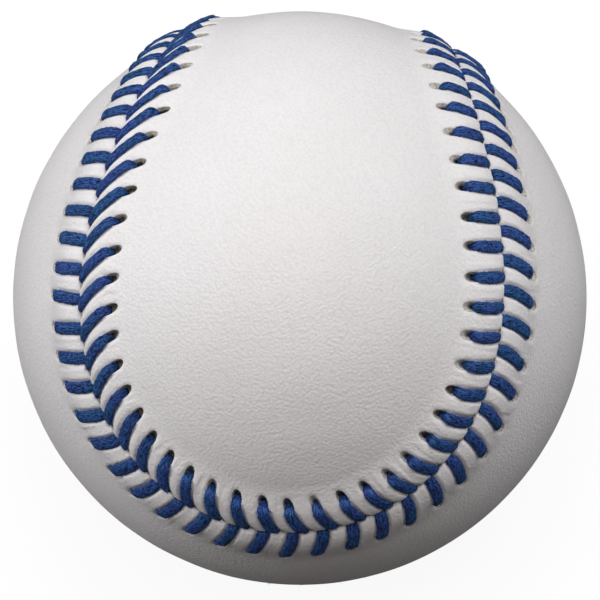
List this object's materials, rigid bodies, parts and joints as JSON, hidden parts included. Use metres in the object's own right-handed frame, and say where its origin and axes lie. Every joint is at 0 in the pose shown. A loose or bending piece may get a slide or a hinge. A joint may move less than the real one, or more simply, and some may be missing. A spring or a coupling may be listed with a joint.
{
  "type": "baseball",
  "caption": "Leather-covered ball of two figure-eight panels laced with raised blue double stitches, over wound wool yarn and a cushioned cork core.",
  "frame": {"origin": "centre of the ball", "axes": "+Z out through the middle of the front panel's lobe, +Y out through the waist of the same panel, +X out through the middle of the back panel's lobe"},
  "size_m": [0.074, 0.0738, 0.074],
  "materials": {
    "cork": "moulded cork granules in rubber, matte",
    "black_rubber": "moulded, matte",
    "washer_rubber": "cut sheet, matte",
    "red_rubber": "moulded, matte",
    "grey_wool": "four-ply woollen yarn, wound tight",
    "white_wool": "three-ply woollen yarn, wound tight",
    "fine_grey_wool": "three-ply woollen yarn, wound tight",
    "cotton": "fine cotton blend yarn, wound tight",
    "adhesive": "dried latex cement, slightly tacky",
    "white_leather": "alum-tanned hide, fine grain, soft sheen",
    "blue_thread": "waxed cotton thread, twisted, slightly fuzzy"
  },
  "bodies": {
    "root": {"cork_core": "cork", "black_shell_upper": "black_rubber", "black_shell_lower": "black_rubber", "rubber_washer": "washer_rubber", "red_shell_upper": "red_rubber", "red_shell_lower": "red_rubber", "first_winding": "grey_wool", "second_winding": "white_wool", "third_winding": "fine_grey_wool", "fourth_winding": "cotton", "adhesive_coat": "adhesive", "front_cover_panel": "white_leather", "back_cover_panel": "white_leather", "stitch_thread_a": "blue_thread", "stitch_thread_b": "blue_thread"}
  },
  "joints": []
}
